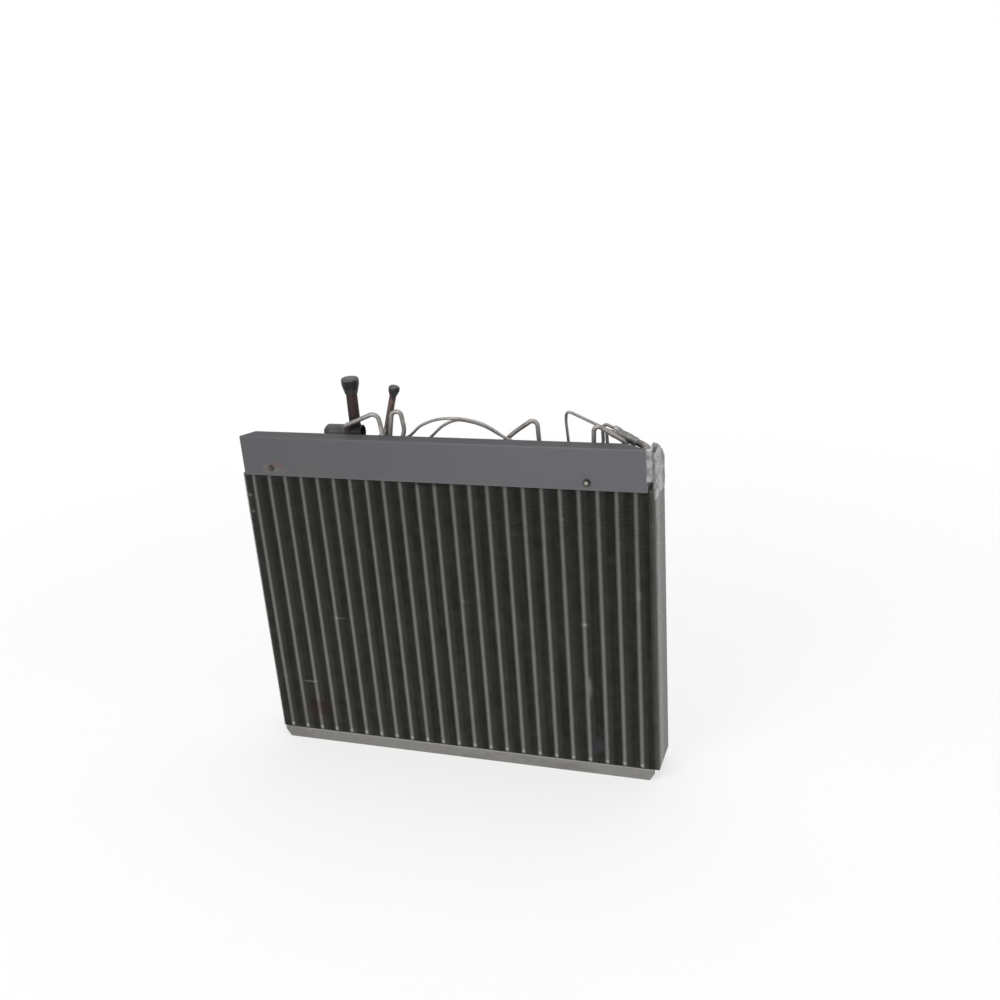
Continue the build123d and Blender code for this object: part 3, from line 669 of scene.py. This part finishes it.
def brazeTree():
    g = GeoTree("braze at the tube tops", Seed=0, Uneven=0.1)
    ring = ringMesh("braze_ring", [(joint["tube"], -0.2 * mm), (joint["rim"], -0.2 * mm),
                                   (joint["rim"], 0.05 * mm), (joint["tube"] + 0.22 * mm, 0.5 * mm),
                                   (joint["tube"], joint["height"])], joint["segments"])
    bead = bpy.data.objects.new("braze_ring", ring)
    info = g.node("GeometryNodeObjectInfo", None, {"Object": bead}, "Geometry")
    turn = g.node("FunctionNodeRandomValue", {"data_type": "FLOAT"},
                  {"Min": 0.0, "Max": tau, "Seed": g.given("Seed")}, 1)
    spin = g.node("ShaderNodeCombineXYZ", None, {2: turn})
    tall = g.node("FunctionNodeRandomValue", {"data_type": "FLOAT"},
                  {"Min": 1 - g.given("Uneven") * 3, "Max": 1 + g.given("Uneven") * 3,
                   "Seed": g.given("Seed") + 1}, 1)
    size = g.node("ShaderNodeCombineXYZ", None, [1.0, 1.0, tall])
    rings = g.node("GeometryNodeInstanceOnPoints", None, {
        "Points": g.given("Geometry"), "Instance": info, "Rotation": spin, "Scale": size})
    g.finish(rings, "braze")
    return g


def makeTubeTopBraze():
    spots = []
    for row, column in bendEnds():
        x = (column + 0.5 * (row % 2)) * tubes["pitch"]
        spots.append((firstTube + x, finLow.y + (row + 0.5) * tubes["rowStep"], tubes["bellTop"]))
    return brazeTree().grow("tube_top_braze", meshOf("spots", spots, [], smooth=False), "braze",
                            Seed=4, Uneven=joint["jitter"])


piece = makeTubeTopBraze()
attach(piece, "root")
print("braze rings made")


# Foil over the right side's fin edges
tape = {"front": 3 * mm, "proud": 0.28 * mm, "columns": 34, "rowsPerFin": 3, "rib": 0.10 * mm,
        "dent": 0.34 * mm}


def makeSideTape():
    low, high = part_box("side_foil_tape")
    side, front, back = high.x, low.y, high.y
    path = [(side - tape["front"], front), (side, front), (side, back), (side - tape["front"], back)]
    lengths = [tape["front"], back - front, tape["front"]]
    total = sum(lengths)
    rows = round((high.z - low.z) / fins["spacing"]) * tape["rowsPerFin"]
    points = []
    for i in range(tape["columns"] + 1):
        s = total * i / tape["columns"]
        leg = 0 if s < lengths[0] else 1 if s <= lengths[0] + lengths[1] else 2
        gone = s - sum(lengths[:leg])
        (xa, ya), (xb, yb) = path[leg], path[leg + 1]
        x, y = xa + (xb - xa) * gone / lengths[leg], ya + (yb - ya) * gone / lengths[leg]
        for j in range(rows + 1):
            z = low.z + (high.z - low.z) * j / rows
            depth = min(1.0, (y - front) / (back - front) * 2.2)
            bumps = abs(noise.noise(Vector((y * 90, z * 260, 3)))) * (1.5 - depth)
            inward = tape["rib"] * (0.5 + 0.5 * cos(tau * j / tape["rowsPerFin"])) + tape["dent"] * bumps
            inward = min(inward, tape["proud"]) if leg == 1 else 0
            points.append((x - inward, y, z))
    mesh = meshOf("side_tape", points, gridFaces(tape["columns"] + 1, rows + 1))
    piece = newPiece("side_tape", outwards(mesh), "tape")
    return piece


piece = makeSideTape()
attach(piece, "root")
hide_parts("side_foil_tape")
print("side tape made")


# Crumpled foil round the right end of the header space
foil = {"columns": 110, "rows": 120, "lap": 10.6 * mm, "round": 5 * mm, "frontLow": 454 * mm,
        "sideLow": 428 * mm, "deep": 2.4 * mm, "curl": 3 * mm, "sheet": 0.12 * mm,
        "flatTo": 441 * mm, "looseOver": 12 * mm, "calmFrom": 30 * mm, "calmOver": 25 * mm,
        "lapDeep": 0.6 * mm, "ragged": 1.6 * mm,
        "crest": [(-3, 499), (2, 502.5), (10, 503.8), (25, 498.5), (39, 492), (54, 482), (70, 468)]}


def crestAt(along):      # height of the foil's edge, by mm back from the front
    points = foil["crest"]
    for (ya, za), (yb, zb) in zip(points, points[1:]):
        if along <= yb:
            share = max(0.0, (along - ya) / (yb - ya))
            return (za + (zb - za) * share) * mm
    return points[-1][1] * mm


def crease(place, scale, seed):      # 0 to 1 with sharp ridges
    value, weight = 0.0, 0.55
    p = place * scale + Vector((seed, 2 * seed, 0))
    for _ in range(3):
        value += weight * min(1.0, 2.2 * abs(noise.noise(p)))
        p = p * 2.07
        weight *= 0.5
    return value


def makeCornerFoil():
    low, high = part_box("corner_foil")
    side, front, back = high.x, low.y, high.y
    r = foil["round"]
    straight, turn = foil["lap"] - r, pi / 2 * r
    total = straight + turn + (back - front - r)
    points = []
    for i in range(foil["columns"] + 1):
        s = total * i / foil["columns"]
        if s < straight:
            x, y, nx, ny = side - foil["lap"] + s, front, 0, -1
        elif s < straight + turn:
            a = (s - straight) / r
            x, y = side - r + r * sin(a), front + r - r * cos(a)
            nx, ny = sin(a), -cos(a)
        else:
            x, y, nx, ny = side, front + r + s - straight - turn, 1, 0
        bend = min(1.0, max(0.0, (s - straight) / turn))
        bottom = foil["frontLow"] + (foil["sideLow"] - foil["frontLow"]) * (1 if bend > 0.55 else 0)
        top = crestAt((y - finLow.y) / mm)
        for j in range(foil["rows"] + 1):
            z = bottom + (top - bottom) * j / foil["rows"]
            place = Vector((x, y, z))
            loose = min(1.0, max(0.04, (z - foil["flatTo"]) / foil["looseOver"]))
            loose *= 0.25 if bend < 0.2 else 1.0
            calm = min(1.0, max(0.0, (y - front - foil["calmFrom"]) / foil["calmOver"]))
            loose *= 1 - 0.75 * calm
            inward = loose * foil["deep"] * crease(place, 75, 7.3)
            under = top - z
            if under < foil["curl"]:      # the edge rolls over
                inward += (1 - sqrt(max(0.0, 1 - (1 - under / foil["curl"]) ** 2))) * foil["curl"] * 0.9
            if bend == 0:
                inward = min(inward, foil["lapDeep"])
            ragged = noise.noise(Vector((s * 160, 0, 5))) * foil["ragged"] * (j / foil["rows"]) ** 6
            points.append((x - nx * inward, y - ny * inward, z - abs(ragged)))
    mesh = meshOf("crumpled_foil", points, gridFaces(foil["columns"] + 1, foil["rows"] + 1))
    piece = newPiece("crumpled_foil", mesh, "foil")
    wall = piece.modifiers.new("wall", "SOLIDIFY")
    wall.thickness = foil["sheet"]
    wall.offset = -1
    return piece


piece = makeCornerFoil()
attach(piece, "root")
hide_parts("corner_foil")
print("corner foil made")


# Smooth copies of the CAD pieces, each with its finish
def smoothCopy(name, finish, limit=32):
    mesh = nodes[name].data.copy()
    mesh.name = name + "_skin"
    mesh.materials.clear()
    shape = bmesh.new()
    shape.from_mesh(mesh)
    bmesh.ops.remove_doubles(shape, verts=shape.verts, dist=2e-6)
    shape.to_mesh(mesh)
    shape.free()
    mesh.shade_smooth()
    mesh.set_sharp_from_angle(angle=radians(limit))
    return newPiece(name + "_skin", mesh, finish)


def repaint(name, finish):
    paint = nodes[name].data.materials
    paint.clear()
    paint.append(finishes[finish])


circuits = range(1, tubes["circuits"] + 1)
looks = {"bottom_end_plate": "galvanised", "top_end_plate": "galvanised", "header_shield": "shield",
         "shield_screws": "screws", "suction_bushings": "copper", "inlet_bushings": "copper",
         "suction_header": "header", "header_end_cup": "header", "suction_stub": "dark",
         "suction_stub_cap": "rubber", "liquid_stub_cap": "rubber", "liquid_line": "liquid",
         "distributor": "brass"}
for i in circuits:
    looks |= {f"circuit_{i}_hairpins": "copper", f"circuit_{i}_return_bends": "copper",
              f"suction_branch_{i}": "dull", f"distributor_tube_{i}": "dull"}
smooth = ["suction_header", "header_end_cup", "suction_stub", "suction_stub_cap", "liquid_stub_cap",
          "liquid_line", "distributor"]
smooth += [f"{kind}_{i}" for kind in ("suction_branch", "distributor_tube") for i in circuits]
for name, finish in looks.items():
    if name in smooth:
        piece = smoothCopy(name, finish)
        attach(piece, "root")
        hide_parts(name)
    else:
        repaint(name, finish)
print("CAD pieces finished")


# Floor, light and camera
studio = {"floor": 12.0, "nearWhite": 0.65, "world": 0.7}


def makeFloor():
    half = studio["floor"]
    mesh = meshOf("floor", [(-half, -half, 0), (half, -half, 0), (half, half, 0), (-half, half, 0)],
                  [(0, 1, 2, 3)], smooth=False)
    f = Finish("floor", roughness=0.9)
    f.put(Base_Color=f.mix(f.grain(3, 3), (0.80, 0.80, 0.79), (0.83, 0.83, 0.82)))
    rays = f.node("ShaderNodeLightPath", out="Is Camera Ray")
    outputs = rays.socket.node.outputs
    seen = rays.atLeast(Sock(f, outputs["Is Glossy Ray"]))
    seen = seen.atLeast(Sock(f, outputs["Is Transmission Ray"]))
    away = f.node("ShaderNodeVectorMath", {"operation": "LENGTH"}, [f.spot], "Value")
    share = (f.fade(away, 0.4, 1.8) * (1 - studio["nearWhite"]) + studio["nearWhite"]) * seen
    glow = f.node("ShaderNodeEmission", None, {"Color": (1, 1, 1, 1), "Strength": 1.0})
    both = f.node("ShaderNodeMixShader", None, [share, Sock(f, f.shader.outputs[0]), glow])
    output = next(n for n in f.tree.nodes if n.bl_idname == "ShaderNodeOutputMaterial")
    f.tree.links.new(both.socket, output.inputs[0])
    mesh.materials.append(f.material)
    floor = bpy.data.objects.new("floor", mesh)
    bpy.context.scene.collection.objects.link(floor)


def makeWorld():
    world = bpy.data.worlds.new("studio")
    bpy.context.scene.world = world
    world.use_nodes = True
    g = Graph(world.node_tree)
    g.tree.nodes.clear()
    rays = g.node("ShaderNodeLightPath", out="Is Camera Ray")
    seen = rays.atLeast(Sock(g, rays.socket.node.outputs["Is Transmission Ray"]))
    level = seen * (1 - studio["world"]) + studio["world"]
    sky = g.node("ShaderNodeBackground", None, {"Color": (1, 1, 1, 1), "Strength": level})
    end = g.tree.nodes.new("ShaderNodeOutputWorld")
    g.tree.links.new(sky.socket, end.inputs[0])


def makeLamp(name, place, target, size, power):
    lamp = bpy.data.lights.new(name, "AREA")
    lamp.size = size
    lamp.energy = power
    holder = bpy.data.objects.new(name, lamp)
    holder.location = place
    holder.rotation_euler = (Vector(target) - Vector(place)).to_track_quat("-Z", "Y").to_euler()
    bpy.context.scene.collection.objects.link(holder)


def makeCamera():
    shot = {"eye": (0.58812, -1.41345, 0.96770), "turn": 20.07, "down": 23.42, "roll": -4.36,
            "lens": 42.0, "lift": 0.06}
    lens = bpy.data.cameras.new("camera")
    lens.lens = shot["lens"]
    lens.shift_y = shot["lift"]
    camera = bpy.data.objects.new("camera", lens)
    turn = Matrix.Rotation(radians(shot["turn"]), 4, "Z")
    tilt = Matrix.Rotation(radians(90 - shot["down"]), 4, "X")
    roll = Matrix.Rotation(radians(shot["roll"]), 4, "Z")
    camera.matrix_world = Matrix.Translation(shot["eye"]) @ turn @ tilt @ roll
    bpy.context.scene.collection.objects.link(camera)
    bpy.context.scene.camera = camera


makeFloor()
makeWorld()
makeLamp("key", (-1.1, -2.5, 1.7), (0, 0, 0.25), 1.6, 36)
makeLamp("right", (2.4, -0.9, 1.3), (0, 0, 0.25), 1.4, 10)
makeLamp("top", (0.1, 0.6, 2.6), (0, 0, 0.3), 1.8, 22)
makeCamera()
bpy.context.scene.view_settings.view_transform = "Standard"
print("studio ready")
